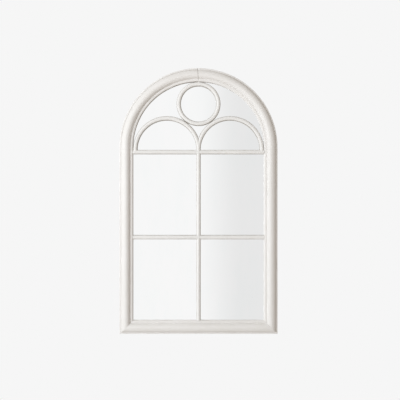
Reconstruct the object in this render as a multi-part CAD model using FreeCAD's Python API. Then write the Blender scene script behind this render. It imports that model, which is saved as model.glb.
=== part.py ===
import FreeCAD, Part
import math
import os

# Arched window mirror, in millimetres. +Z is up, the front faces -Y and the
# wall lies on the +Y side. The origin is the bottom centre of the whole
# object's box: x = 0 is the centre line, z = 0 the underside of the bottom
# rail, y = 0 halfway between the moulding's crest and the wall.

Vector = FreeCAD.Vector
FRONT_TO_BACK = Vector(0, 1, 0)

# Overall frame.
frame_width = 720.0
frame_height = 1210.0
arch_leg = 12.0                 # straight length of each arch quadrant below the arch's centre

# Moulding section: u runs inwards from the outer edge, d forwards from the flat back.
moulding_width = 62.0
moulding_depth = 34.0           # crest of the main hump
side_height = 13.0              # flat outer wall
edge_bead_width = 6.0
edge_bead_rise = 2.6
hump_start_width = 7.2
hump_width = 41.8
hump_foot_depth = 12.4
hump_inner_depth = 16.6
quirk_width = 2.4
quirk_depth = 1.2
sight_bead_rise = 3.6

# Rebate, glass and board.
rebate_width = 8.0
glass_thickness = 4.0
board_thickness = 3.0
stack_clearance = 0.2           # board below the frame's back
pane_edge_clearance = 1.5       # at the sides and the arch; the bottom edge stands in the rebate

# Glazing bars, planted on the face of the glass.
bar_width = 20.0
bar_height = 12.0
bar_land = 2.0                  # straight edge under the rounded top

# Dowels and nails.
bar_dowel_diameter = 5.0
bar_dowel_length = 22.0
bar_dowel_height = 5.0          # centre above the glass
frame_dowel_diameter = 8.0
frame_dowel_length = 40.0
frame_dowel_depth = 13.0        # centre in front of the back
frame_dowel_insets = (24.0, 41.0)
nail_leg = 5.0
nail_thickness = 0.6
nail_depth = 10.0
nail_insets = (15.0, 36.0)

# Pan-head wood screws.
screw_head_diameter = 7.0
screw_head_height = 2.0
screw_head_wall = 1.0           # upright part of the head, under its domed top
screw_shank_diameter = 3.0
screw_length = 12.0
screw_point_length = 3.0
recess_width = 3.6
recess_slot = 0.8
recess_depth = 1.1

# Turn buttons that keep the board in.
button_width = 12.0
button_thickness = 1.5
button_reach = 26.0             # pivot to tip
button_tail = 8.0               # pivot to the other end
button_lip = 1.2                # height of the finger lip near the tip
button_inset = 38.0             # pivot from the frame's outer edge
button_bore_clearance = 0.1     # round the screw
button_head_clearance = 0.1     # under the screw's head
button_sole_gap = 230.0         # lower stile button above the underside
button_joint_gap = 228.0        # upper stile button below the stile joint
button_arch_angles = (30.0, 65.0)
button_rail_offset = 160.0

# Hanging hardware.
hanger_joint_gap = 48.0         # axis of the ring below the stile joint
hanger_inset = 27.0             # from the frame's outer edge
strap_width = 14.0
strap_thickness = 1.2
strap_length = 46.0
strap_screw_drops = (27.0, 39.0)
ring_wire = 3.0
ring_clearance = 0.08           # between the ring's leg and the rolled loop
ring_half_width = 12.0
ring_corner_radius = 4.0
ring_side = 3.0

# Wall bumpers.
bumper_diameter = 20.0
bumper_height = 7.0
bumper_edge_round = 1.5
bumper_inset = 25.0
bumper_sole_gap = 90.0          # lower bumpers above the underside
bumper_arch_angle = 48.0

# Places that follow from the sizes above.
half_width = frame_width / 2
arch_centre_z = frame_height - half_width
joint_z = arch_centre_z - arch_leg
sight_half_width = half_width - moulding_width
crown_sight_z = arch_centre_z + sight_half_width
sill_z = moulding_width
glass_front_depth = glass_thickness + board_thickness + stack_clearance
wall_y = (moulding_depth + bumper_height) / 2
back_y = wall_y - bumper_height
glass_front_y = back_y - glass_front_depth
transom_z = joint_z - bar_width / 2
mid_bar_z = (sill_z + transom_z - bar_width / 2) / 2
lobe_radius = (sight_half_width - bar_width / 2) / 2
lobe_outer_radius = lobe_radius + bar_width / 2
rise = crown_sight_z - joint_z
lobe_span = lobe_radius ** 2 - lobe_outer_radius ** 2
tracery_ring_outer = (rise ** 2 + lobe_span) / (2 * (rise + lobe_outer_radius))
tracery_ring_z = crown_sight_z - tracery_ring_outer
tracery_ring_radius = tracery_ring_outer - bar_width / 2
hanger_x = half_width - hanger_inset
hanger_z = joint_z - hanger_joint_gap
loop_bore_diameter = ring_wire + 2 * ring_clearance
loop_diameter = loop_bore_diameter + 2 * strap_thickness
ring_axis_y = back_y + loop_diameter / 2


# ---- helpers -------------------------------------------------------------

def front_prism(outline, near_y, far_y):
    """A prism whose outline is given as (x, z) points, from near_y back to far_y."""
    points = [Vector(x, near_y, z) for x, z in outline]
    face = Part.Face(Part.makePolygon(points + [points[0]]))
    return face.extrude(FRONT_TO_BACK * (far_y - near_y))


def mirrored(shape):
    """The same piece on the other side of the centre line."""
    return shape.mirror(Vector(0, 0, 0), Vector(1, 0, 0))


def arc_place(radius, degrees):
    """The (x, z) point at a radius and angle about the arch's centre."""
    angle = math.radians(degrees)
    return radius * math.cos(angle), arch_centre_z + radius * math.sin(angle)


def outline_face(points, place):
    """A face from an outline of flat points; a pair of points is an arc through them. It closes itself."""
    edges = []
    here = points[0]
    for step in points[1:]:
        if isinstance(step[0], tuple):
            middle, end = step
            edges.append(Part.Arc(place(*here), place(*middle), place(*end)).toShape())
        else:
            end = step
            edges.append(Part.makeLine(place(*here), place(*end)))
        here = end
    if here != points[0]:
        edges.append(Part.makeLine(place(*here), place(*points[0])))
    return Part.Face(Part.Wire(edges))


def write(name, shape):
    """Keep one named piece, and say if it isn't a sound solid."""
    if not shape.isValid() or shape.Volume <= 0:
        print("unsound piece:", name)
    shape.exportStep("parts/" + name + ".step")


# ---- frame members ---------------------------------------------------------

def moulding_face(place):
    """The moulding's section: flat back, outer wall and edge bead, main hump, sight bead, rebate."""
    hump_end = hump_start_width + hump_width
    bead_start = hump_end + quirk_width
    hump_middle = (hump_start_width + hump_end) / 2
    bead_middle = (bead_start + moulding_width) / 2
    rebate_start = moulding_width - rebate_width
    points = [
        (0, 0),
        (0, side_height),
        ((edge_bead_width / 2, side_height + edge_bead_rise), (edge_bead_width, side_height)),
        (hump_start_width, hump_foot_depth),
        ((hump_middle, moulding_depth), (hump_end, hump_inner_depth)),
        (hump_end + quirk_width / 2, hump_inner_depth - quirk_depth),
        (bead_start, hump_inner_depth),
        ((bead_middle, hump_inner_depth + sight_bead_rise), (moulding_width, hump_inner_depth)),
        (moulding_width, glass_front_depth),
        (rebate_start, glass_front_depth),
        (rebate_start, 0),
    ]
    return outline_face(points, place)


def right_stile_blank():
    """The straight moulding up to the arch joint, mitred at the bottom corner."""
    face = moulding_face(lambda u, d: Vector(half_width - u, back_y - d, 0))
    moulding = face.extrude(Vector(0, 0, joint_z))
    margin = moulding_width
    outline = [
        (half_width + margin, -margin),
        (half_width + margin, joint_z + margin),
        (sight_half_width - margin, joint_z + margin),
        (sight_half_width - margin, moulding_width + margin),
    ]
    return moulding.common(front_prism(outline, -frame_width, frame_width))


def right_quadrant_blank():
    """A quarter turn of the moulding from the crown down to its short straight leg."""
    face = moulding_face(lambda u, d: Vector(half_width - u, back_y - d, arch_centre_z))
    bend = face.revolve(Vector(0, 0, arch_centre_z), -FRONT_TO_BACK, 90)
    leg = face.extrude(Vector(0, 0, -arch_leg))
    return bend.fuse(leg).removeSplitter()


def bottom_rail_blank():
    """The straight moulding along the bottom, mitred at both ends."""
    face = moulding_face(lambda u, d: Vector(-half_width, back_y - d, u))
    moulding = face.extrude(Vector(frame_width, 0, 0))
    margin = moulding_width
    outline = [
        (-half_width - margin, -margin),
        (half_width + margin, -margin),
        (sight_half_width - margin, moulding_width + margin),
        (margin - sight_half_width, moulding_width + margin),
    ]
    return moulding.common(front_prism(outline, -frame_width, frame_width))


# ---- glazing bars ----------------------------------------------------------

def bar_face(place):
    """The half-round bar's section: s across the bar, d forwards from the glass."""
    half = bar_width / 2
    points = [
        (-half, 0),
        (-half, bar_land),
        ((0, bar_height), (half, bar_land)),
        (half, 0),
    ]
    return outline_face(points, place)


def upright_bar(low_z, high_z, low_pointed, high_pointed):
    """A bar on the centre line; a pointed end is mitred both ways to meet a crossing."""
    face = bar_face(lambda s, d: Vector(s, glass_front_y - d, low_z))
    bar = face.extrude(Vector(0, 0, high_z - low_z))
    outline = [(-bar_width, low_z), (bar_width, low_z)]
    if low_pointed:
        outline = [(-bar_width, low_z + bar_width), (0, low_z), (bar_width, low_z + bar_width)]
    if high_pointed:
        outline += [(bar_width, high_z - bar_width), (0, high_z), (-bar_width, high_z - bar_width)]
    else:
        outline += [(bar_width, high_z), (-bar_width, high_z)]
    return bar.common(front_prism(outline, -frame_width, frame_width))


def right_cross_bar(centre_z):
    """A level bar from the pointed end at the centre line to the right stile."""
    face = bar_face(lambda s, d: Vector(0, glass_front_y - d, centre_z + s))
    bar = face.extrude(Vector(sight_half_width, 0, 0))
    outline = [
        (0, centre_z),
        (bar_width, centre_z - bar_width),
        (sight_half_width, centre_z - bar_width),
        (sight_half_width, centre_z + bar_width),
        (bar_width, centre_z + bar_width),
    ]
    return bar.common(front_prism(outline, -frame_width, frame_width))


def foot_wedge(foot_x):
    """The vee above the transom's centre line that a lobe's foot fills."""
    outline = [
        (foot_x, transom_z),
        (foot_x + bar_width, transom_z + bar_width),
        (foot_x - bar_width, transom_z + bar_width),
    ]
    return front_prism(outline, glass_front_y - moulding_depth, glass_front_y + moulding_depth)


def right_lobe_blank():
    """The half-circle bar on the transom, with scribed feet and cut off at the centre line."""
    outer_foot_x = 2 * lobe_radius
    centre = Vector(lobe_radius, 0, joint_z)
    face = bar_face(lambda s, d: Vector(outer_foot_x + s, glass_front_y - d, joint_z))
    lobe = face.revolve(centre, -FRONT_TO_BACK, 180)
    for foot_x in (0, outer_foot_x):
        foot_face = bar_face(lambda s, d: Vector(foot_x + s, glass_front_y - d, joint_z))
        leg = foot_face.extrude(Vector(0, 0, -bar_width / 2))
        lobe = lobe.fuse(leg.common(foot_wedge(foot_x)))
    keep = [
        (0, 0),
        (frame_width, 0),
        (frame_width, frame_height),
        (0, frame_height),
    ]
    return lobe.removeSplitter().common(front_prism(keep, -frame_width, frame_width))


def tracery_ring_blank():
    """The full circle between the two lobes and the crown."""
    centre = Vector(0, 0, tracery_ring_z)
    face = bar_face(lambda s, d: Vector(tracery_ring_radius + s, glass_front_y - d, tracery_ring_z))
    return face.revolve(centre, FRONT_TO_BACK, 360)


# ---- glass and board -------------------------------------------------------

def pane(near_depth, thickness):
    """A sheet that fills the rebate: straight sides, half-round top, standing on its bottom edge."""
    half = sight_half_width + rebate_width - pane_edge_clearance
    bottom = sill_z - rebate_width
    y = back_y - near_depth
    corners = [Vector(-half, y, arch_centre_z), Vector(-half, y, bottom)]
    corners += [Vector(half, y, bottom), Vector(half, y, arch_centre_z)]
    crown = Vector(0, y, arch_centre_z + half)
    edges = [Part.makeLine(start, end) for start, end in zip(corners, corners[1:])]
    edges.append(Part.Arc(corners[-1], crown, corners[0]).toShape())
    return Part.Face(Part.Wire(edges)).extrude(FRONT_TO_BACK * thickness)


# ---- dowels, nails and screws ------------------------------------------------

def rod(start, direction, length, diameter):
    """A plain round rod."""
    return Part.makeCylinder(diameter / 2, length, start, direction)


def bar_dowels():
    """Pins from the bar ends into the frame: four stile ends, the sill and the crown."""
    y = glass_front_y - bar_dowel_height
    half = bar_dowel_length / 2
    across = Vector(1, 0, 0)
    up = Vector(0, 0, 1)
    pins = []
    for z in (mid_bar_z, transom_z):
        for side in (-1, 1):
            start = Vector(side * sight_half_width - half, y, z)
            pins.append(rod(start, across, bar_dowel_length, bar_dowel_diameter))
    for z in (sill_z, crown_sight_z):
        pins.append(rod(Vector(0, y, z - half), up, bar_dowel_length, bar_dowel_diameter))
    return pins


def frame_dowels():
    """Two dowels across each stile joint and across the crown joint."""
    y = back_y - frame_dowel_depth
    half = frame_dowel_length / 2
    pins = []
    for inset in frame_dowel_insets:
        for side in (-1, 1):
            start = Vector(side * (half_width - inset), y, joint_z - half)
            pins.append(rod(start, Vector(0, 0, 1), frame_dowel_length, frame_dowel_diameter))
        start = Vector(-half, y, frame_height - inset)
        pins.append(rod(start, Vector(1, 0, 0), frame_dowel_length, frame_dowel_diameter))
    return pins


def corner_nails():
    """Vee nails driven into the back, straddling each bottom mitre."""
    nails = []
    reach = nail_leg / math.sqrt(2)
    web = nail_thickness * math.sqrt(2)
    for inset in nail_insets:
        x = half_width - inset
        outline = [
            (x, inset),
            (x, inset + reach + web),
            (x - nail_thickness, inset + reach + web),
            (x - nail_thickness, inset + nail_thickness),
            (x - reach - web, inset + nail_thickness),
            (x - reach - web, inset),
        ]
        nail = front_prism(outline, back_y - nail_depth, back_y)
        nails += [nail, mirrored(nail)]
    return nails


def wood_screw(x, head_y, z):
    """A pan-head screw driven forwards; head_y is the underside of its head."""
    head_radius = screw_head_diameter / 2
    shank_radius = screw_shank_diameter / 2
    point = screw_length - screw_point_length
    dome_height = screw_head_height - screw_head_wall
    dome_radius = (head_radius ** 2 + dome_height ** 2) / (2 * dome_height)
    half_turn = math.asin(head_radius / dome_radius) / 2
    dome_drop = dome_radius * (1 - math.cos(half_turn))
    dome_middle = (dome_radius * math.sin(half_turn), screw_head_height - dome_drop)
    profile = [
        (0, screw_head_height),
        (dome_middle, (head_radius, screw_head_wall)),
        (head_radius, 0),
        (shank_radius, 0),
        (shank_radius, -point),
        (0, -screw_length),
    ]
    face = outline_face(profile, lambda r, h: Vector(x + r, head_y + h, z))
    screw = face.revolve(Vector(x, head_y, z), FRONT_TO_BACK, 360)
    for across, upright in ((recess_width, recess_slot), (recess_slot, recess_width)):
        corner = Vector(x - across / 2, head_y + screw_head_height - recess_depth, z - upright / 2)
        screw = screw.cut(Part.makeBox(across, 2 * recess_depth, upright, corner))
    return screw


# ---- turn buttons ------------------------------------------------------------

def button_places():
    """Where each button pivots, and the way it points towards the board, as (x, z, degrees)."""
    places = []
    for z in (button_sole_gap, joint_z - button_joint_gap):
        places.append((half_width - button_inset, z, 180))
        places.append((button_inset - half_width, z, 0))
    for angle in button_arch_angles:
        x, z = arc_place(half_width - button_inset, angle)
        places.append((x, z, 180 + angle))
        places.append((-x, z, -angle))
    for side in (-1, 1):
        places.append((side * button_rail_offset, button_inset, 90))
    return places


def turn_button(x, z, degrees):
    """A flat steel tab with round ends, a pivot hole and a raised finger lip near its tip."""
    half = button_width / 2
    near = half - button_tail
    far = button_reach - half
    outline = [
        (near, -half),
        (far, -half),
        ((button_reach, 0), (far, half)),
        (near, half),
        ((-button_tail, 0), (near, -half)),
    ]
    tab = outline_face(outline, lambda s, t: Vector(s, 0, t)).extrude(FRONT_TO_BACK * button_thickness)
    lip_length = button_width - 2 * button_lip
    lip_start = Vector(far, button_thickness, -lip_length / 2)
    tab = tab.fuse(rod(lip_start, Vector(0, 0, 1), lip_length, 2 * button_lip))
    below = Part.makeBox(2 * button_reach, button_width, 2 * button_width)
    below.translate(Vector(-button_reach, -button_width, -button_width))
    bore_diameter = screw_shank_diameter + 2 * button_bore_clearance
    bore = rod(Vector(0, -button_thickness, 0), FRONT_TO_BACK, 3 * button_thickness, bore_diameter)
    tab = tab.cut(below).cut(bore).removeSplitter()
    tab.rotate(Vector(0, 0, 0), -FRONT_TO_BACK, degrees)
    tab.translate(Vector(x, back_y, z))
    return tab


def button_screws():
    """The screw that each button turns on."""
    head_y = back_y + button_thickness + button_head_clearance
    return [wood_screw(x, head_y, z) for x, z, _ in button_places()]


# ---- hanging hardware ----------------------------------------------------------

def right_strap():
    """A steel strap, flat on the stile and rolled into a loop round the ring's straight leg."""
    half = strap_width / 2
    straight = strap_length - half
    outline = [
        (-half, 0),
        (half, 0),
        (half, -straight),
        ((0, -strap_length), (-half, -straight)),
    ]
    face = outline_face(outline, lambda s, h: Vector(hanger_x + s, back_y, hanger_z + h))
    strap = face.extrude(FRONT_TO_BACK * strap_thickness)
    loop_start = Vector(hanger_x - half, ring_axis_y, hanger_z)
    across = Vector(1, 0, 0)
    strap = strap.fuse(rod(loop_start, across, strap_width, loop_diameter))
    strap = strap.cut(rod(loop_start, across, strap_width, loop_bore_diameter))
    return strap.cut(right_strap_screws())


def right_strap_screws():
    """The two screws that hold the strap to the stile."""
    head_y = back_y + strap_thickness
    return [wood_screw(hanger_x, head_y, hanger_z - drop) for drop in strap_screw_drops]


def right_ring():
    """A D-shaped wire ring, hanging down from its straight leg in the strap's loop."""
    a = ring_half_width
    r = ring_corner_radius
    bow_centre = -r - ring_side
    bend = r * (1 - math.sqrt(0.5))

    def at(s, h):
        return Vector(hanger_x + s, ring_axis_y, hanger_z + h)

    path = [
        Part.makeLine(at(0, 0), at(a - r, 0)),
        Part.Arc(at(a - r, 0), at(a - bend, -bend), at(a, -r)).toShape(),
        Part.makeLine(at(a, -r), at(a, bow_centre)),
        Part.Arc(at(a, bow_centre), at(0, bow_centre - a), at(-a, bow_centre)).toShape(),
        Part.makeLine(at(-a, bow_centre), at(-a, -r)),
        Part.Arc(at(-a, -r), at(bend - a, -bend), at(r - a, 0)).toShape(),
        Part.makeLine(at(r - a, 0), at(0, 0)),
    ]
    wire_end = Part.Wire(Part.makeCircle(ring_wire / 2, at(0, 0), Vector(1, 0, 0)))
    return Part.Wire(path).makePipeShell([wire_end], True, True)


# ---- wall bumpers ----------------------------------------------------------------

def bumper(x, z):
    """A round rubber foot on the frame's back, with a rounded rim towards the wall."""
    radius = bumper_diameter / 2
    rim = bumper_edge_round
    bend = rim * (1 - math.sqrt(0.5))
    outline = [
        (0, 0),
        (radius, 0),
        (radius, bumper_height - rim),
        ((radius - bend, bumper_height - bend), (radius - rim, bumper_height)),
        (0, bumper_height),
    ]
    face = outline_face(outline, lambda r, h: Vector(x + r, back_y + h, z))
    return face.revolve(Vector(x, back_y, z), FRONT_TO_BACK, 360)


def wall_bumpers():
    """Four bumpers: low on the stiles and high on the arch."""
    arch_x, arch_z = arc_place(half_width - bumper_inset, bumper_arch_angle)
    feet = []
    for x, z in ((half_width - bumper_inset, bumper_sole_gap), (arch_x, arch_z)):
        feet += [bumper(x, z), bumper(-x, z)]
    return feet


# ---- the whole mirror --------------------------------------------------------------

def main():
    os.makedirs("parts", exist_ok=True)
    bar_pins = bar_dowels()
    joint_pins = frame_dowels()
    nails = corner_nails()
    pivots = button_screws()
    strap_screws = right_strap_screws()
    strap_screws += [mirrored(screw) for screw in strap_screws]
    let_in = bar_pins + joint_pins + nails + pivots + strap_screws

    stile = right_stile_blank()
    quadrant = right_quadrant_blank()
    write("right_stile", stile.cut(let_in))
    write("left_stile", mirrored(stile).cut(let_in))
    write("right_arch_quadrant", quadrant.cut(let_in))
    write("left_arch_quadrant", mirrored(quadrant).cut(let_in))
    write("bottom_rail", bottom_rail_blank().cut(let_in))

    notches = [foot_wedge(foot_x) for foot_x in (0, 2 * lobe_radius)]
    mid_bar = right_cross_bar(mid_bar_z)
    transom = right_cross_bar(transom_z).cut(notches)
    lobe = right_lobe_blank()
    write("lower_mullion", upright_bar(sill_z, mid_bar_z, False, True).cut(bar_pins))
    write("upper_mullion", upright_bar(mid_bar_z, transom_z, True, True))
    for name, blank in (("mid_bar", mid_bar), ("transom_bar", transom), ("lobe", lobe)):
        write("right_" + name, blank.cut(bar_pins))
        write("left_" + name, mirrored(blank).cut(bar_pins))
    write("tracery_ring", tracery_ring_blank().cut(bar_pins))

    write("mirror_glass", pane(glass_front_depth, glass_thickness))
    write("backing_board", pane(glass_front_depth - glass_thickness, board_thickness))

    write("bar_dowels", Part.Compound(bar_pins))
    write("frame_dowels", Part.Compound(joint_pins))
    write("corner_nails", Part.Compound(nails))
    write("turn_button_screws", Part.Compound(pivots))
    write("hanger_screws", Part.Compound(strap_screws))
    write("wall_bumpers", Part.Compound(wall_bumpers()))

    for number, (x, z, degrees) in enumerate(button_places(), 1):
        write("turn_button_" + str(number), turn_button(x, z, degrees))

    strap = right_strap()
    ring = right_ring()
    write("right_hanger_strap", strap)
    write("left_hanger_strap", mirrored(strap))
    write("right_hanger_ring", ring)
    write("left_hanger_ring", mirrored(ring))


main()
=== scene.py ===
import math

import bpy
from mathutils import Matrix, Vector


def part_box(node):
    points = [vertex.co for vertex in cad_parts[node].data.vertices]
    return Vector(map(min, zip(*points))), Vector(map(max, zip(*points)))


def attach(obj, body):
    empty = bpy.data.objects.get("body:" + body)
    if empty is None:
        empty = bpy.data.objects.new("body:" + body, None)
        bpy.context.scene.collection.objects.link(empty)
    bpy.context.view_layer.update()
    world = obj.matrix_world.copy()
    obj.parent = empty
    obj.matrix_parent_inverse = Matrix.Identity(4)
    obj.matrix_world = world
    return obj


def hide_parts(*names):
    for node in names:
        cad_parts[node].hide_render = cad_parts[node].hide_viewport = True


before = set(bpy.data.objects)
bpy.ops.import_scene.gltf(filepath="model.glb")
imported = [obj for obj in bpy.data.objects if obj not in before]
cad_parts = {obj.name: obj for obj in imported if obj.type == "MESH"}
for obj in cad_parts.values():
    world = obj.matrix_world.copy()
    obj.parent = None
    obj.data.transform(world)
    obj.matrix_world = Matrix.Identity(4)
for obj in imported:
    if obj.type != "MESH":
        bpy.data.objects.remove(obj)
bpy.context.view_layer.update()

MM = 0.001


# ---- sizes, in metres, read off the frame wherever a node shows them --------

low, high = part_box("right_stile")
HALF_WIDTH = high.x
JOINT_Z = high.z
BACK_Y = high.y
CREST_DEPTH = BACK_Y - low.y
MOULDING = HALF_WIDTH - low.x
TOP_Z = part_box("right_arch_quadrant")[1].z
ARCH_CENTRE_Z = TOP_Z - HALF_WIDTH
SIGHT_HALF = HALF_WIDTH - MOULDING

low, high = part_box("lower_mullion")
BAR_WIDTH = high.x - low.x
BAR_HEIGHT = high.y - low.y
GLASS_Y = high.y
SILL_Z = low.z
MID_BAR_Z = high.z
TRANSOM_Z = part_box("upper_mullion")[1].z

low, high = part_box("tracery_ring")
RING_Z = (low.z + high.z) / 2
RING_RADIUS = (high.x - low.x - BAR_WIDTH) / 2
LOBE_RADIUS = (SIGHT_HALF - BAR_WIDTH / 2) / 2

GLASS_DEPTH = BACK_Y - GLASS_Y
REBATE_WIDTH = 8 * MM
REBATE_START = MOULDING - REBATE_WIDTH

# The moulding, as (across from its outer edge, forwards from its back). Its points were chosen to
# give the shading in the photo. The CAD section stands up to 4 mm further forwards at the sight edge.
BACK_ROUND = 0.8 * MM
FILLET_START = (0, 12.6 * MM)
FILLET_TOP = (3.2 * MM, 13.9 * MM)
FILLET_END = (6.6 * MM, 13.2 * MM)
HUMP_OUTER_FOOT = (7.2 * MM, 12.9 * MM)
HUMP_CREST = (30.8 * MM, CREST_DEPTH)
HUMP_INNER_FOOT = (48.4 * MM, 16.6 * MM)
QUIRK = (49 * MM, 16.2 * MM)
BEAD_START = (49.6 * MM, 16.9 * MM)
BEAD_TOP = (54.5 * MM, 17.5 * MM)
SIGHT_EDGE = (MOULDING, 12.6 * MM)
BAR_LAND = 2 * MM

# Painted shade: how far it reaches up a bar's foot and in from the sight edge, and how much of it shows at
# the sight edge. The last is how much darker the paint gets at a joint for each metre of easing.
FOOT_SHADE = 3.2 * MM
SIGHT_SHADE = 2.4 * MM
SIGHT_FADE = 0.45
JOINT_SOIL = 0.5 / (1.2 * MM)

# How much painted shade each piece shows, most on the left pieces, whose sight edges face away from the
# lamps. The amounts were chosen to match the photo's brightness.
FRAME_SHADE_AMOUNTS = {
    "left_stile": 0.5,
    "left_arch_quadrant": 1.0,
    "right_arch_quadrant": 0.3,
    "right_stile": 0.1,
    "bottom_rail": 0.0,
}
# The bent bars carry more painted shade at their feet than the straight bars.
CURVED_SHADE_AMOUNT = 2.2

# In the photo the joint at the crown leans left towards its top.
CROWN_LEAN = 4.5 * MM
CROWN_EASING = 1.5 * MM


# ---- node graphs ------------------------------------------------------------

class Wire:
    """One output socket. Arithmetic on it adds Math nodes to its graph."""

    def __init__(self, graph, socket):
        self.graph = graph
        self.socket = socket

    def out(self, name):
        """Another output of the same node."""
        return Wire(self.graph, self.socket.node.outputs[name])

    def math(self, operation, *terms):
        """A Math node on these terms, in this order."""
        return self.graph.add("ShaderNodeMath", {"operation": operation}, dict(enumerate(terms)))

    def __add__(self, other):
        return self.math("ADD", self, other)

    def __mul__(self, other):
        return self.math("MULTIPLY", self, other)

    def __sub__(self, other):
        return self.math("SUBTRACT", self, other)

    def __rsub__(self, other):
        return self.math("SUBTRACT", other, self)

    def __abs__(self):
        return self.math("ABSOLUTE", self)

    __radd__ = __add__
    __rmul__ = __mul__

    def step(self, start, end):
        """0 up to start, 1 from end on, smooth between them."""
        settings = {"interpolation_type": "SMOOTHSTEP"}
        return self.graph.add("ShaderNodeMapRange", settings, {0: self, 1: start, 2: end})


class Graph:
    """A shader or geometry node tree that is written as expressions."""

    def __init__(self, tree):
        self.tree = tree

    def add(self, kind, settings, inputs, output=0):
        """Adds a node, sets what it is and then its sockets, and returns one of its outputs."""
        node = self.tree.nodes.new(kind)
        for name, value in settings.items():
            if name == "stops":
                set_stops(node.color_ramp, value)
            elif name == "captures":
                for kind_of_value, label in value:
                    node.capture_items.new(kind_of_value, label)
            else:
                setattr(node, name, value)
        for name, value in inputs.items():
            if isinstance(value, Wire):
                self.tree.links.new(value.socket, node.inputs[name])
            else:
                node.inputs[name].default_value = value
        return Wire(self, node.outputs[output] if len(node.outputs) else None)

    def vector(self, operation, *terms):
        """A Vector Math node whose first terms are vectors."""
        return self.add("ShaderNodeVectorMath", {"operation": operation}, dict(enumerate(terms)))

    def scaled(self, vector, factor):
        """A vector times a number."""
        return self.add("ShaderNodeVectorMath", {"operation": "SCALE"}, {0: vector, "Scale": factor})

    def combined(self, x, y, z):
        """A vector from three numbers."""
        return self.add("ShaderNodeCombineXYZ", {}, {0: x, 1: y, 2: z})

    def colour_mix(self, factor, first, second):
        """The first colour where the factor is 0, the second where it is 1."""
        settings = {"data_type": "RGBA", "blend_type": "MIX", "clamp_factor": True}
        return self.add("ShaderNodeMix", settings, {0: factor, 6: first, 7: second}, 2)

    def noise(self, vector, scale, detail=2.0, roughness=0.5, distortion=0.0):
        """Smooth noise between 0 and 1."""
        inputs = {"Vector": vector, "Scale": scale, "Detail": detail}
        inputs |= {"Roughness": roughness, "Distortion": distortion}
        return self.add("ShaderNodeTexNoise", {}, inputs)

    def bump(self, height, distance):
        """A Bump node for a height between 0 and 1 and a real depth in metres."""
        inputs = {"Height": height, "Distance": distance, "Strength": 1.0}
        return self.add("ShaderNodeBump", {}, inputs)


def set_stops(ramp, stops):
    """Gives a colour ramp its stops, as (place, colour)."""
    while len(ramp.elements) < len(stops):
        ramp.elements.new(1.0)
    for element, (place, colour) in zip(ramp.elements, stops):
        element.position = place
        element.color = colour


def srgb(red, green, blue):
    """A colour written as it looks, 0 to 255, in the renderer's linear values."""
    channels = []
    for value in (red, green, blue):
        share = value / 255
        channels.append(share / 12.92 if share <= 0.04045 else ((share + 0.055) / 1.055) ** 2.4)
    return (*channels, 1.0)


def new_material(name):
    """An empty material: its graph and its output node."""
    material = bpy.data.materials.new(name)
    material.use_nodes = True
    material.node_tree.nodes.clear()
    return material, Graph(material.node_tree)


def surface(graph, **sockets):
    """A Principled surface with these sockets, named with underscores, as the material's output."""
    inputs = {name.replace("_", " "): value for name, value in sockets.items()}
    shader = graph.add("ShaderNodeBsdfPrincipled", {}, inputs)
    graph.add("ShaderNodeOutputMaterial", {}, {"Surface": shader})


def object_place(graph):
    """Object coordinates, in metres from the piece's origin."""
    return graph.add("ShaderNodeTexCoord", {}, {}, "Object")


# ---- finishes ------------------------------------------------------------------

def painted_wood(name, light, shade, shade_strength):
    """Brushed off-white paint over wood: strokes along the run, painted shade and dark joints, bare wood
    behind.
    """
    material, graph = new_material(name)
    run = graph.add("ShaderNodeAttribute", {"attribute_name": "stroke_run"}, {}, "Vector")
    relief = graph.add("ShaderNodeAttribute", {"attribute_name": "hollow"}, {}, "Fac")
    place = object_place(graph)
    depth = graph.add("ShaderNodeSeparateXYZ", {}, {0: place}, "Y")

    bristles = graph.noise(graph.vector("MULTIPLY", run, (1.0, 0.035, 1.0)), 900.0, 3.0, 0.6)
    strokes = graph.noise(graph.vector("MULTIPLY", run, (1.0, 0.12, 1.0)), 160.0, 3.0, 0.55, 0.6)
    patches = graph.noise(place, 11.0, 3.0, 0.6)
    specks = graph.noise(place, 420.0, 2.0, 0.7)

    tone = (strokes * 0.5 + patches * 0.5).step(0.36, 0.64)
    paint = graph.colour_mix(tone, light, shade)
    # Painted shade: a grey-brown where the relief level is high, at the sight edge, in the creases and the
    # quirk, and at the bars' feet, plus dark eased joints.
    hollow = relief.step(0.5, 1.0) * (0.6 + 0.4 * (patches * 0.6 + strokes * 0.4).step(0.35, 0.65))
    paint = graph.colour_mix(hollow * shade_strength, paint, srgb(166, 160, 152))
    proud = (0.45 - relief).step(0.0, 0.4) * (specks * 0.5 + patches * 0.5).step(0.5, 0.6)
    paint = graph.colour_mix(proud * 0.5, paint, srgb(206, 186, 158))

    fibres = graph.noise(graph.vector("MULTIPLY", run, (1.0, 0.02, 1.0)), 650.0, 4.0, 0.65)
    rings = graph.noise(graph.vector("MULTIPLY", run, (1.0, 0.05, 1.0)), 70.0, 2.0, 0.5, 1.2)
    bare = graph.colour_mix(rings.step(0.4, 0.6), srgb(203, 170, 128), srgb(180, 142, 100))
    bare = graph.colour_mix(fibres.step(0.45, 0.7) * 0.5, bare, srgb(150, 112, 76))
    overspray = graph.noise(place, 60.0, 4.0, 0.65).step(0.50, 0.72)
    bare = graph.colour_mix(overspray * 0.5, bare, shade)
    ragged = depth + (patches - 0.5) * (1.2 * MM) + (specks - 0.5) * (0.6 * MM)
    unpainted = ragged.step(BACK_Y - 0.9 * MM, BACK_Y - 0.5 * MM)

    colour = graph.colour_mix(unpainted, paint, bare)
    roughness = 0.46 + strokes * 0.12 + hollow * 0.12 + unpainted * 0.22
    height = bristles * 0.5 + strokes * 0.35 + specks * 0.15 - unpainted * 0.4
    normal = graph.bump(height, 0.04 * MM)
    surface(graph, Base_Color=colour, Roughness=roughness, Normal=normal, IOR=1.48)
    return material


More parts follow.
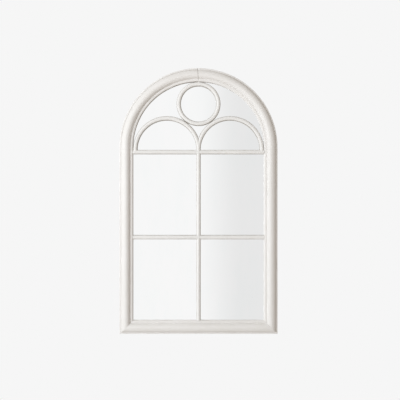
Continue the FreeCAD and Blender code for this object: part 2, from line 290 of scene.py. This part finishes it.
def silvered_glass():
    """Back-silvered float glass: almost flat, with the faintest smears and rolling waves."""
    material, graph = new_material("silvered_glass")
    place = object_place(graph)
    smears = graph.noise(graph.vector("MULTIPLY", place, (1.0, 1.0, 0.35)), 9.0, 4.0, 0.7)
    waves = graph.noise(place, 3.5, 1.0)
    tint = graph.colour_mix(smears.step(0.35, 0.7), srgb(251, 251, 251), srgb(249, 250, 250))
    roughness = 0.004 + smears.step(0.5, 0.8) * 0.012
    normal = graph.bump(waves, 0.01 * MM)
    surface(graph, Base_Color=tint, Metallic=1.0, Roughness=roughness, Normal=normal)
    return material


def hardboard():
    """Brown pressed fibre board: mottled, with fine fibres and a hard, slightly shiny skin."""
    material, graph = new_material("hardboard")
    place = object_place(graph)
    mottle = graph.noise(place, 26.0, 5.0, 0.62)
    fibres = graph.noise(place, 520.0, 3.0, 0.7, 1.5)
    flecks = graph.noise(place, 210.0, 2.0, 0.5).step(0.62, 0.74)
    colour = graph.colour_mix(mottle.step(0.35, 0.65), srgb(139, 103, 72), srgb(121, 88, 60))
    colour = graph.colour_mix(fibres.step(0.4, 0.7) * 0.4, colour, srgb(98, 69, 46))
    colour = graph.colour_mix(flecks * 0.35, colour, srgb(172, 138, 102))
    height = fibres * 0.7 + mottle * 0.3
    roughness = 0.58 + fibres * 0.18
    surface(graph, Base_Color=colour, Roughness=roughness, Normal=graph.bump(height, 0.15 * MM))
    return material


def zinc_plate():
    """Bright zinc-plated steel with fine scratches and dull finger marks."""
    material, graph = new_material("zinc_plate")
    place = object_place(graph)
    clouds = graph.noise(place, 130.0, 3.0, 0.6)
    scratches = graph.noise(graph.vector("MULTIPLY", place, (1.0, 1.0, 0.08)), 2600.0, 2.0, 0.5)
    colour = graph.colour_mix(clouds.step(0.35, 0.65), srgb(206, 208, 211), srgb(186, 188, 190))
    roughness = 0.26 + clouds * 0.14 + scratches * 0.08
    height = scratches * 0.6 + clouds * 0.4
    normal = graph.bump(height, 0.02 * MM)
    surface(graph, Base_Color=colour, Metallic=1.0, Roughness=roughness, Normal=normal)
    return material


def bumper_rubber():
    """Soft black rubber with dust in its pores."""
    material, graph = new_material("bumper_rubber")
    place = object_place(graph)
    pores = graph.noise(place, 900.0, 3.0, 0.6)
    dust = graph.noise(place, 90.0, 4.0, 0.7).step(0.5, 0.75)
    colour = graph.colour_mix(dust * 0.5, srgb(38, 37, 36), srgb(92, 90, 87))
    surface(graph, Base_Color=colour, Roughness=0.72 + dust * 0.15, Normal=graph.bump(pores, 0.08 * MM))
    return material


def beech():
    """Beech for the dowels: dark flecks on a pale ground, painted where it shows in front of the glass."""
    material, graph = new_material("beech")
    place = object_place(graph)
    depth = graph.add("ShaderNodeSeparateXYZ", {}, {0: place}, "Y")
    flecks = graph.noise(graph.vector("MULTIPLY", place, (1.0, 1.0, 0.2)), 1500.0, 2.0, 0.5)
    ground = graph.noise(place, 120.0, 3.0, 0.6)
    colour = graph.colour_mix(ground.step(0.35, 0.65), srgb(214, 178, 136), srgb(196, 156, 114))
    colour = graph.colour_mix(flecks.step(0.6, 0.7) * 0.6, colour, srgb(140, 100, 66))
    colour = graph.colour_mix(depth.step(GLASS_Y - 1 * MM, GLASS_Y), srgb(226, 224, 220), colour)
    normal = graph.bump(flecks, 0.05 * MM)
    surface(graph, Base_Color=colour, Roughness=0.6 + ground * 0.15, Normal=normal)
    return material


# ---- sections of the moulding and the bars ----------------------------------------

# Relief levels: below neutral the paint is worn, above it the painted shade lies deeper.
NEUTRAL = 0.5
LIGHTLY_SHADED = 0.6
CREASED = 0.85
DEEP = 1.0
PROUD = 0.0


def arc_points(start, middle, end, steps):
    """Points on the arc through three (s, d) points, its start left out."""
    (x1, y1), (x2, y2), (x3, y3) = start, middle, end
    k = 2 * (x1 * (y2 - y3) + x2 * (y3 - y1) + x3 * (y1 - y2))
    a, b, c = x1 * x1 + y1 * y1, x2 * x2 + y2 * y2, x3 * x3 + y3 * y3
    centre_x = (a * (y2 - y3) + b * (y3 - y1) + c * (y1 - y2)) / k
    centre_y = (a * (x3 - x2) + b * (x1 - x3) + c * (x2 - x1)) / k
    radius = math.hypot(x1 - centre_x, y1 - centre_y)
    first = math.atan2(y1 - centre_y, x1 - centre_x)
    last = math.atan2(y3 - centre_y, x3 - centre_x)
    if last > first:
        last -= 2 * math.pi
    points = []
    for step in range(1, steps + 1):
        angle = first + (last - first) * step / steps
        across = centre_x + radius * math.cos(angle)
        forwards = centre_y + radius * math.sin(angle)
        points.append((across, forwards, NEUTRAL))
    return points


def flank_points(foot, top, steps):
    """Points from a foot up to a top, on the arc that is level at the top."""
    across, rise = foot[0] - top[0], top[1] - foot[1]
    radius = (across * across + rise * rise) / (2 * rise)
    turn = math.asin(max(-1.0, min(1.0, across / radius)))
    points = []
    for step in range(steps + 1):
        angle = turn * (1 - step / steps)
        drop = radius * (1 - math.cos(angle))
        points.append((top[0] + radius * math.sin(angle), top[1] - drop, NEUTRAL))
    return points


def moulding_section():
    """The frame's section as (inwards, forwards, relief) points, from the back outer corner."""
    points = [(0, BACK_ROUND, PROUD), (0, FILLET_START[1] / 2, NEUTRAL), (*FILLET_START, NEUTRAL)]
    points += arc_points(FILLET_START, FILLET_TOP, FILLET_END, 6)[:-1]
    # The relief levels paint shade into the creases at the hump's outer foot, into the quirk and, most of
    # all, at the sight edge.
    points += [(*FILLET_END, CREASED), (*HUMP_OUTER_FOOT, CREASED)]
    points += flank_points(HUMP_OUTER_FOOT, HUMP_CREST, 16)[1:]
    points += flank_points(HUMP_INNER_FOOT, HUMP_CREST, 14)[-2::-1]
    points.append((*QUIRK, LIGHTLY_SHADED))
    points += flank_points(BEAD_START, BEAD_TOP, 4)
    for across, forwards, _ in flank_points(SIGHT_EDGE, BEAD_TOP, 8)[-2::-1]:
        shade = DEEP - SIGHT_FADE * min(1.0, (MOULDING - across) / SIGHT_SHADE)
        points.append((across, forwards, shade))
    points.append((MOULDING, (SIGHT_EDGE[1] + GLASS_DEPTH) / 2, DEEP))
    points.append((MOULDING, GLASS_DEPTH, DEEP))
    points.append((REBATE_START, GLASS_DEPTH, NEUTRAL))
    points.append((REBATE_START, 0, NEUTRAL))
    points.append((BACK_ROUND, 0, PROUD))
    return points


def bar_section():
    """The glazing bar's half-round section over its straight edges."""
    half = BAR_WIDTH / 2
    left_land, right_land = (-half, BAR_LAND), (half, BAR_LAND)
    points = [left_land]
    points += [point[:2] for point in arc_points(left_land, (0, BAR_HEIGHT), right_land, 24)]
    # Painted shade at both feet of the bar, fading out over FOOT_SHADE up its sides.
    shaded = []
    for across, forwards in points:
        foot = min(1.0, (half - abs(across)) / FOOT_SHADE)
        shaded.append((across, forwards, DEEP + (NEUTRAL - DEEP) * foot))
    return [(-half, 0, DEEP)] + shaded + [(half, 0, DEEP)]


def line_object(name, points, closed):
    """A curve object through (x, y, radius) points in its own XY plane. It isn't part of the object."""
    curve = bpy.data.curves.new(name, "CURVE")
    curve.dimensions = "3D"
    spline = curve.splines.new("POLY")
    spline.points.add(len(points) - 1)
    for point, (x, y, radius) in zip(spline.points, points):
        point.co = (x, y, 0, 1)
        point.radius = radius
    spline.use_cyclic_u = closed
    line = bpy.data.objects.new(name, curve)
    bpy.context.scene.collection.objects.link(line)
    return line


def section_object(name, points):
    """A section as a closed curve: the depth runs down its Y axis, the relief is its radius."""
    return line_object(name, [(s, -d, relief) for s, d, relief in points], True)


# ---- the sweep that makes frame members and bars -------------------------------------

def new_tree(name, inputs):
    """A geometry node group with these named inputs, as (name, kind of socket, value)."""
    tree = bpy.data.node_groups.new(name, "GeometryNodeTree")
    tree.interface.new_socket("Geometry", in_out="INPUT", socket_type="NodeSocketGeometry")
    for label, kind, value in inputs:
        socket = tree.interface.new_socket(label, in_out="INPUT", socket_type="NodeSocket" + kind)
        if value is not None:
            socket.default_value = value
    tree.interface.new_socket("Geometry", in_out="OUTPUT", socket_type="NodeSocketGeometry")
    return tree


def moulding_run_tree():
    """Sweeps a section along a path, slants or points its ends, and eases the arrises at the joints."""
    tree = new_tree("moulding_run", [
        ("Section", "Object", None),
        ("Back plane", "Float", 0.0),
        ("Start slant", "Float", 0.0),
        ("End slant", "Float", 0.0),
        ("Start point", "Float", 0.0),
        ("End point", "Float", 0.0),
        ("Low side stop", "Float", -10.0),
        ("High side stop", "Float", 10.0),
        ("Start easing", "Float", 0.3 * MM),
        ("End easing", "Float", 0.3 * MM),
        ("Easing width", "Float", 0.6 * MM),
        ("Hand wave", "Float", 0.15 * MM),
        ("Soiling", "Float", 1.0),
        ("Seed", "Float", 0.0),
        ("Paint", "Material", None),
    ])
    graph = Graph(tree)
    given = graph.add("NodeGroupInput", {}, {})

    path_length = graph.add("GeometryNodeSplineParameter", {}, {}, "Length")
    share = path_length.out("Factor")
    whole = graph.add("GeometryNodeSplineLength", {}, {}, "Length")
    tangent = graph.add("GeometryNodeInputTangent", {}, {})
    path = graph.add("GeometryNodeSetCurveNormal", {"mode": "Z_UP"}, {0: given.out("Geometry")})
    captures = [("FLOAT", "share"), ("FLOAT", "length"), ("FLOAT", "whole"), ("VECTOR", "way")]
    path = graph.add("GeometryNodeCaptureAttribute", {"captures": captures, "domain": "POINT"}, {
        0: path, 1: share, 2: path_length, 3: whole, 4: tangent})

    section = graph.add("GeometryNodeObjectInfo", {}, {0: given.out("Section")}, "Geometry")
    outline = graph.add("GeometryNodeSplineParameter", {}, {}, "Length")
    place = graph.add("GeometryNodeInputPosition", {}, {})
    radius = graph.add("GeometryNodeInputRadius", {}, {})
    captures = [("FLOAT", "outline"), ("VECTOR", "place"), ("FLOAT", "relief")]
    section = graph.add("GeometryNodeCaptureAttribute", {"captures": captures, "domain": "POINT"}, {
        0: section, 1: outline, 2: place, 3: radius})
    path_ends = graph.add("GeometryNodeSetCurveRadius", {}, {0: path, "Radius": 1.0})

    solid = graph.add("GeometryNodeCurveToMesh", {}, {0: path_ends, 1: section, "Fill Caps": True})
    share, length = path.out("share"), path.out("length")
    across = graph.add("ShaderNodeSeparateXYZ", {}, {0: section.out("place")}, "X")
    slant = given.out("Start slant") * (1 - share) + given.out("End slant") * share
    point = given.out("Start point") * (1 - share) + given.out("End point") * share
    shift = graph.scaled(path.out("way"), across * slant + abs(across) * point)
    solid = graph.add("GeometryNodeSetPosition", {}, {0: solid, "Offset": shift})

    width = given.out("Easing width")
    inset = (1 - length.step(0.0, width)) * given.out("Start easing")
    inset = inset + (1 - (path.out("whole") - length).step(0.0, width)) * given.out("End easing")
    relief = section.out("relief")
    inset = inset * (1 - relief.step(NEUTRAL, LIGHTLY_SHADED))
    normal = graph.add("GeometryNodeInputNormal", {}, {})
    way = path.out("way")
    settings = {"operation": "DOT_PRODUCT"}
    lengthwise = graph.add("ShaderNodeVectorMath", settings, {0: normal, 1: way}, "Value")
    normal = graph.vector("SUBTRACT", normal, graph.scaled(way, lengthwise))
    here = graph.add("GeometryNodeInputPosition", {}, {})
    seeded = graph.vector("ADD", here, graph.combined(given.out("Seed"), 0.0, given.out("Seed")))
    wave = (graph.noise(seeded, 9.0, 1.0) - 0.75) * given.out("Hand wave")
    shift = graph.scaled(normal, wave - inset)
    solid = graph.add("GeometryNodeSetPosition", {}, {0: solid, "Offset": shift})

    here = graph.add("GeometryNodeInputPosition", {}, {})
    x = graph.add("ShaderNodeSeparateXYZ", {}, {0: here}, "X")
    y, z = x.out("Y"), x.out("Z")
    stopped = x.math("MINIMUM", x, given.out("High side stop"))
    stopped = x.math("MAXIMUM", stopped, given.out("Low side stop"))
    kept = graph.combined(stopped, y, z)
    solid = graph.add("GeometryNodeSetPosition", {}, {0: solid, "Position": kept})

    # Painted shade: each piece keeps its share of the darkening above neutral, and the eased joints are
    # painted darker.
    shade_part = relief.math("MAXIMUM", relief - NEUTRAL, 0.0)
    hollow = relief - shade_part * (1 - given.out("Soiling")) + inset * JOINT_SOIL
    stroke = graph.combined(section.out("outline"), length, given.out("Seed"))
    stored = (("stroke_run", "FLOAT_VECTOR", stroke), ("hollow", "FLOAT", hollow))
    for label, kind_of_value, value in stored:
        settings = {"data_type": kind_of_value, "domain": "POINT"}
        inputs = {0: solid, "Name": label, "Value": value}
        solid = graph.add("GeometryNodeStoreNamedAttribute", settings, inputs)
    upright = graph.add("GeometryNodeTransform", {}, {
        0: solid, "Rotation": (math.pi / 2, 0.0, 0.0),
        "Translation": graph.combined(0.0, given.out("Back plane"), 0.0)})
    whole_piece = graph.add("GeometryNodeRealizeInstances", {}, {0: upright})
    painted = graph.add("GeometryNodeSetMaterial", {}, {0: whole_piece, "Material": given.out("Paint")})
    graph.add("NodeGroupOutput", {}, {0: painted})
    return tree


def grown(source, tree, name, **inputs):
    """Runs a geometry tree on an object and returns the plain mesh it makes, as a piece of that name."""
    modifier = source.modifiers.new(tree.name, "NODES")
    modifier.node_group = tree
    for item in tree.interface.items_tree:
        label = item.name.replace(" ", "_").lower()
        if item.in_out == "INPUT" and label in inputs:
            modifier[item.identifier] = inputs[label]
    graph = bpy.context.evaluated_depsgraph_get()
    mesh = bpy.data.meshes.new_from_object(source.evaluated_get(graph))
    source.modifiers.remove(modifier)
    bpy.data.objects.remove(source)
    mesh.name = name
    piece = bpy.data.objects.new(name, mesh)
    bpy.context.scene.collection.objects.link(piece)
    return piece


STRAIGHT_STEP = 24 * MM
NEAR_JOINT = [0.0, 0.15 * MM, 0.35 * MM, 0.6 * MM, 1.4 * MM]
JOINT_POINTS = len(NEAR_JOINT)


def eased_stations(length, step):
    """Distances along a run: close together at both joints, then even."""
    between = length - 2 * NEAR_JOINT[-1]
    count = max(2, round(between / step))
    middle = [NEAR_JOINT[-1] + between * i / count for i in range(1, count)]
    return NEAR_JOINT + middle + [length - distance for distance in reversed(NEAR_JOINT)]


def straight_run(start, end):
    """Path points from start to end, as (x, z)."""
    start, end = Vector(start), Vector(end)
    length = (end - start).length
    return [start.lerp(end, distance / length) for distance in eased_stations(length, STRAIGHT_STEP)]


def turned_run(centre, radius, first, last, step=2.0):
    """Path points on an arc, in degrees from the +X side; a falling angle turns clockwise."""
    length = abs(math.radians(last - first)) * radius
    points = []
    for distance in eased_stations(length, math.radians(step) * radius):
        angle = math.radians(first + (last - first) * distance / length)
        x = centre[0] + radius * math.cos(angle)
        z = centre[1] + radius * math.sin(angle)
        points.append(Vector((x, z)))
    return points


SHARP_ANGLE = math.radians(38)

# Each piece has its own seed, so that no two have the same brush strokes.
FRAME_SEED_STEP = 0.37
FIRST_BAR_SEED = 5
BAR_SEED_STEP = 0.41
RING_SEED = 9.0


def run_piece(name, path, section, tree, closed=False, **inputs):
    """One frame member or bar, on the mirror's body in place of the CAD node of its name."""
    line = line_object(name + "_path", [(x, z, 1.0) for x, z in path], closed)
    piece = grown(line, tree, name + "_painted", section=section, **inputs)
    piece.data.set_sharp_from_angle(angle=SHARP_ANGLE)
    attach(piece, "mirror")
    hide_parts(name)
    "bar_paint" if inputs["back_plane"] == GLASS_Y else "frame_paint"
    return piece


def frame_members(tree, section, paint):
    """Both stiles, both arch quadrants and the bottom rail, clockwise round the opening."""
    left, right = -HALF_WIDTH, HALF_WIDTH
    centre = (0.0, ARCH_CENTRE_Z)
    leg_up = straight_run((left, JOINT_Z), (left, ARCH_CENTRE_Z))[:-JOINT_POINTS]
    leg_down = straight_run((right, ARCH_CENTRE_Z), (right, JOINT_Z))[JOINT_POINTS:]
    seam = 90 + math.degrees(CROWN_LEAN / HALF_WIDTH)
    lean = CROWN_LEAN / HALF_WIDTH * SIGHT_HALF / MOULDING
    left_arch = leg_up + turned_run(centre, HALF_WIDTH, 180, seam)
    right_arch = turned_run(centre, HALF_WIDTH, seam, 0) + leg_down
    left_end = {"end_slant": lean, "end_easing": CROWN_EASING, "easing_width": CROWN_EASING}
    right_end = {"start_slant": lean, "start_easing": CROWN_EASING, "easing_width": CROWN_EASING}
    rail_ends = {"start_slant": 1.0, "end_slant": -1.0}
    members = {
        "left_stile": (straight_run((left, 0), (left, JOINT_Z)), {"start_slant": 1.0}),
        "left_arch_quadrant": (left_arch, left_end),
        "right_arch_quadrant": (right_arch, right_end),
        "right_stile": (straight_run((right, JOINT_Z), (right, 0)), {"end_slant": -1.0}),
        "bottom_rail": (straight_run((right, 0), (left, 0)), rail_ends),
    }
    for number, (name, (path, ends)) in enumerate(members.items()):
        finish = {"seed": FRAME_SEED_STEP * number, "soiling": FRAME_SHADE_AMOUNTS[name], "paint": paint}
        run_piece(name, path, section, tree, back_plane=BACK_Y, **finish, **ends)


def glazing_bars(tree, section, paint):
    """Mullions, cross bars, lobes and ring on the face of the glass."""
    lobe_feet = TRANSOM_Z + BAR_WIDTH / 2
    both_pointed = {"start_point": 1.0, "end_point": -1.0}
    bars = {
        "lower_mullion": (straight_run((0, SILL_Z), (0, MID_BAR_Z)), {"end_point": -1.0}),
        "upper_mullion": (straight_run((0, MID_BAR_Z), (0, TRANSOM_Z)), both_pointed),
    }
    for name, z in (("mid_bar", MID_BAR_Z), ("transom_bar", TRANSOM_Z)):
        bars["left_" + name] = (straight_run((-SIGHT_HALF, z), (0, z)), {"end_point": -1.0})
        bars["right_" + name] = (straight_run((0, z), (SIGHT_HALF, z)), {"start_point": 1.0})
    for side, name, stop in ((-1, "left_lobe", "high_side_stop"), (1, "right_lobe", "low_side_stop")):
        centre_x = side * LOBE_RADIUS
        first, last = centre_x - LOBE_RADIUS, centre_x + LOBE_RADIUS
        path = straight_run((first, TRANSOM_Z), (first, lobe_feet))[:-JOINT_POINTS]
        path += turned_run((centre_x, lobe_feet), LOBE_RADIUS, 180, 0, 4.0)
        path += straight_run((last, lobe_feet), (last, TRANSOM_Z))[JOINT_POINTS:]
        bars[name] = (path, both_pointed | {stop: 0.0, "soiling": CURVED_SHADE_AMOUNT})
    for number, (name, (path, ends)) in enumerate(bars.items()):
        finish = {"seed": FIRST_BAR_SEED + BAR_SEED_STEP * number, "paint": paint}
        run_piece(name, path, section, tree, back_plane=GLASS_Y, **finish, **ends)
    path = []
    for degrees in range(90, -270, -3):
        angle = math.radians(degrees)
        path.append((RING_RADIUS * math.cos(angle), RING_Z + RING_RADIUS * math.sin(angle)))
    finish = {"seed": RING_SEED, "soiling": CURVED_SHADE_AMOUNT, "paint": paint}
    unbroken = {"start_easing": 0.0, "end_easing": 0.0}
    run_piece("tracery_ring", path, section, tree, True, back_plane=GLASS_Y, **finish, **unbroken)


# ---- carried-over pieces ------------------------------------------------------------

def dress(material, *nodes):
    """Gives these CAD nodes a finish. Their shapes stay as they are."""
    for name in nodes:
        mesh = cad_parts[name].data
        mesh.materials.clear()
        mesh.materials.append(material)


# ---- studio --------------------------------------------------------------------------

PICTURE_WIDTH = 400
PIXEL = 4.554 * MM
FIELD_WIDTH = PICTURE_WIDTH * PIXEL
CAMERA_DISTANCE = 2.4
SENSOR = 36.0
BACKGROUND = srgb(246, 246, 246)

# Where the mirror's view of the studio shades from white to grey, and on to a darker grey at the
# far right, as the x of the direction.
GREY_SHADE = (-0.014, 0.081)
FAR_SHADE = (0.09, 0.8)

FLOOR_Z = -0.9
FLOOR_REACH = 1.4
LAMP_DISTANCE = 4.5
LAMP_SIZE = 2.0
LAMP_RISE = 0.12
LAMP_COLOUR = (0.945, 1.0, 1.045)

# Each lamp's name, its angle to the left in degrees and its power in watts.
LAMPS = (("key", 35, 105.0), ("side_light", 65, 35.0))


def camera():
    """A level camera square on to the mirror, with the mirror a touch left of and below the middle."""
    data = bpy.data.cameras.new("camera")
    data.sensor_width = SENSOR
    data.lens = SENSOR * CAMERA_DISTANCE / FIELD_WIDTH
    data.clip_end = 100.0
    eye = bpy.data.objects.new("camera", data)
    eye.location = (1.5 * PIXEL, -CAMERA_DISTANCE, TOP_Z / 2 + PIXEL)
    eye.rotation_euler = (math.pi / 2, 0, 0)
    bpy.context.scene.collection.objects.link(eye)
    bpy.context.scene.camera = eye


def seen_in_mirror(rays):
    """1 for what the camera sees in the mirror, 0 for light that the mirror throws on the paint."""
    bounces = rays.out("Diffuse Depth")
    return rays.out("Is Glossy Ray") * bounces.math("LESS_THAN", bounces, 0.5)


def surroundings():
    """A pale studio that is dim below. Behind the camera its white shades to grey towards the right."""
    world = bpy.data.worlds.new("studio")
    bpy.context.scene.world = world
    world.use_nodes = True
    world.node_tree.nodes.clear()
    graph = Graph(world.node_tree)
    way = graph.add("ShaderNodeTexCoord", {}, {}, "Generated")
    x = graph.add("ShaderNodeSeparateXYZ", {}, {0: way}, "X")
    z = x.out("Z")
    rays = graph.add("ShaderNodeLightPath", {}, {}, "Is Camera Ray")
    heights = [(0.0, (0.87, 0.80, 0.73, 1.0)), (0.45, (0.355, 0.32, 0.28, 1.0))]
    heights += [(0.55, (0.355, 0.32, 0.28, 1.0)), (1.0, (0.55, 0.51, 0.46, 1.0))]
    soft = graph.add("ShaderNodeValToRGB", {"stops": heights}, {0: z * 0.5 + 0.5})
    shades = [(0.0, srgb(251, 251, 251)), (1.0, srgb(235, 235, 235))]
    reflected = graph.add("ShaderNodeValToRGB", {"stops": shades}, {0: x.step(*GREY_SHADE)})
    reflected = graph.colour_mix(x.step(*FAR_SHADE), reflected, srgb(205, 204, 202))
    seen = graph.colour_mix(seen_in_mirror(rays), soft, reflected)
    seen = graph.colour_mix(rays, seen, BACKGROUND)
    light = graph.add("ShaderNodeBackground", {}, {"Color": seen, "Strength": 1.0})
    graph.add("ShaderNodeOutputWorld", {}, {"Surface": light})


def lamps():
    """Soft square lamps to the left, in front of the mirror and a little above its middle."""
    middle = Vector((0, 0, TOP_Z / 2))
    for name, side, power in LAMPS:
        data = bpy.data.lights.new(name, "AREA")
        data.size = LAMP_SIZE
        data.energy = power
        data.color = LAMP_COLOUR
        source = bpy.data.objects.new(name, data)
        angle = math.radians(side)
        place = middle + LAMP_DISTANCE * Vector((-math.sin(angle), -math.cos(angle), LAMP_RISE))
        source.location = place
        source.rotation_euler = (middle - place).to_track_quat("-Z", "Y").to_euler()
        bpy.context.scene.collection.objects.link(source)


def floor():
    """A round pale floor well below the mirror, which hangs. Its rim melts into the background."""
    mesh = bpy.data.meshes.new("floor")
    angles = [math.radians(5 * i) for i in range(72)]
    rim = [(FLOOR_REACH * math.cos(angle), FLOOR_REACH * math.sin(angle), FLOOR_Z) for angle in angles]
    mesh.from_pydata(rim, [], [range(len(rim))])
    ground = bpy.data.objects.new("floor", mesh)
    bpy.context.scene.collection.objects.link(ground)
    material, graph = new_material("floor")
    flat_place = graph.vector("MULTIPLY", object_place(graph), (1.0, 1.0, 0.0))
    reach = graph.add("ShaderNodeVectorMath", {"operation": "LENGTH"}, {0: flat_place}, "Value")
    rays = graph.add("ShaderNodeLightPath", {}, {}, "Is Camera Ray")
    direct = rays.math("MAXIMUM", rays, seen_in_mirror(rays))
    glow_share = direct * (0.6 + 0.4 * reach.step(0.35 * FLOOR_REACH, FLOOR_REACH))
    matt = graph.add("ShaderNodeBsdfDiffuse", {}, {"Color": srgb(240, 239, 237)})
    glow = graph.add("ShaderNodeEmission", {}, {"Color": BACKGROUND})
    mixed = graph.add("ShaderNodeMixShader", {}, {0: glow_share, 1: matt, 2: glow})
    graph.add("ShaderNodeOutputMaterial", {}, {"Surface": mixed})
    mesh.materials.append(material)


# ---- the mirror ------------------------------------------------------------------------

def main():
    camera()
    frame_paint = painted_wood("frame_paint", srgb(239, 237, 236), srgb(235, 233, 231), 0.95)
    # The bars' paint is a touch lighter and cooler than the frame's: painted light for what the mirror
    # beside them throws back.
    bar_paint = painted_wood("bar_paint", srgb(241, 240, 239), srgb(236, 235, 234), 0.9)
    tree = moulding_run_tree()
    moulding = section_object("moulding_section", moulding_section())
    bar = section_object("bar_section", bar_section())
    frame_members(tree, moulding, frame_paint)
    glazing_bars(tree, bar, bar_paint)
    for section in (moulding, bar):
        bpy.data.objects.remove(section)

    zinc = zinc_plate()
    wood = beech()
    dress(silvered_glass(), "mirror_glass")
    dress(hardboard(), "backing_board")
    dress(bumper_rubber(), "wall_bumpers")
    dress(wood, "bar_dowels", "frame_dowels")
    steel = ["corner_nails", "hanger_screws", "turn_button_screws"]
    steel += [side + piece for side in ("left", "right") for piece in ("_hanger_strap", "_hanger_ring")]
    steel += [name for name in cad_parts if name.startswith("turn_button_") and name[-1].isdigit()]
    dress(zinc, *steel)

    surroundings()
    lamps()
    floor()
    bpy.context.scene.view_settings.view_transform = "Standard"


main()
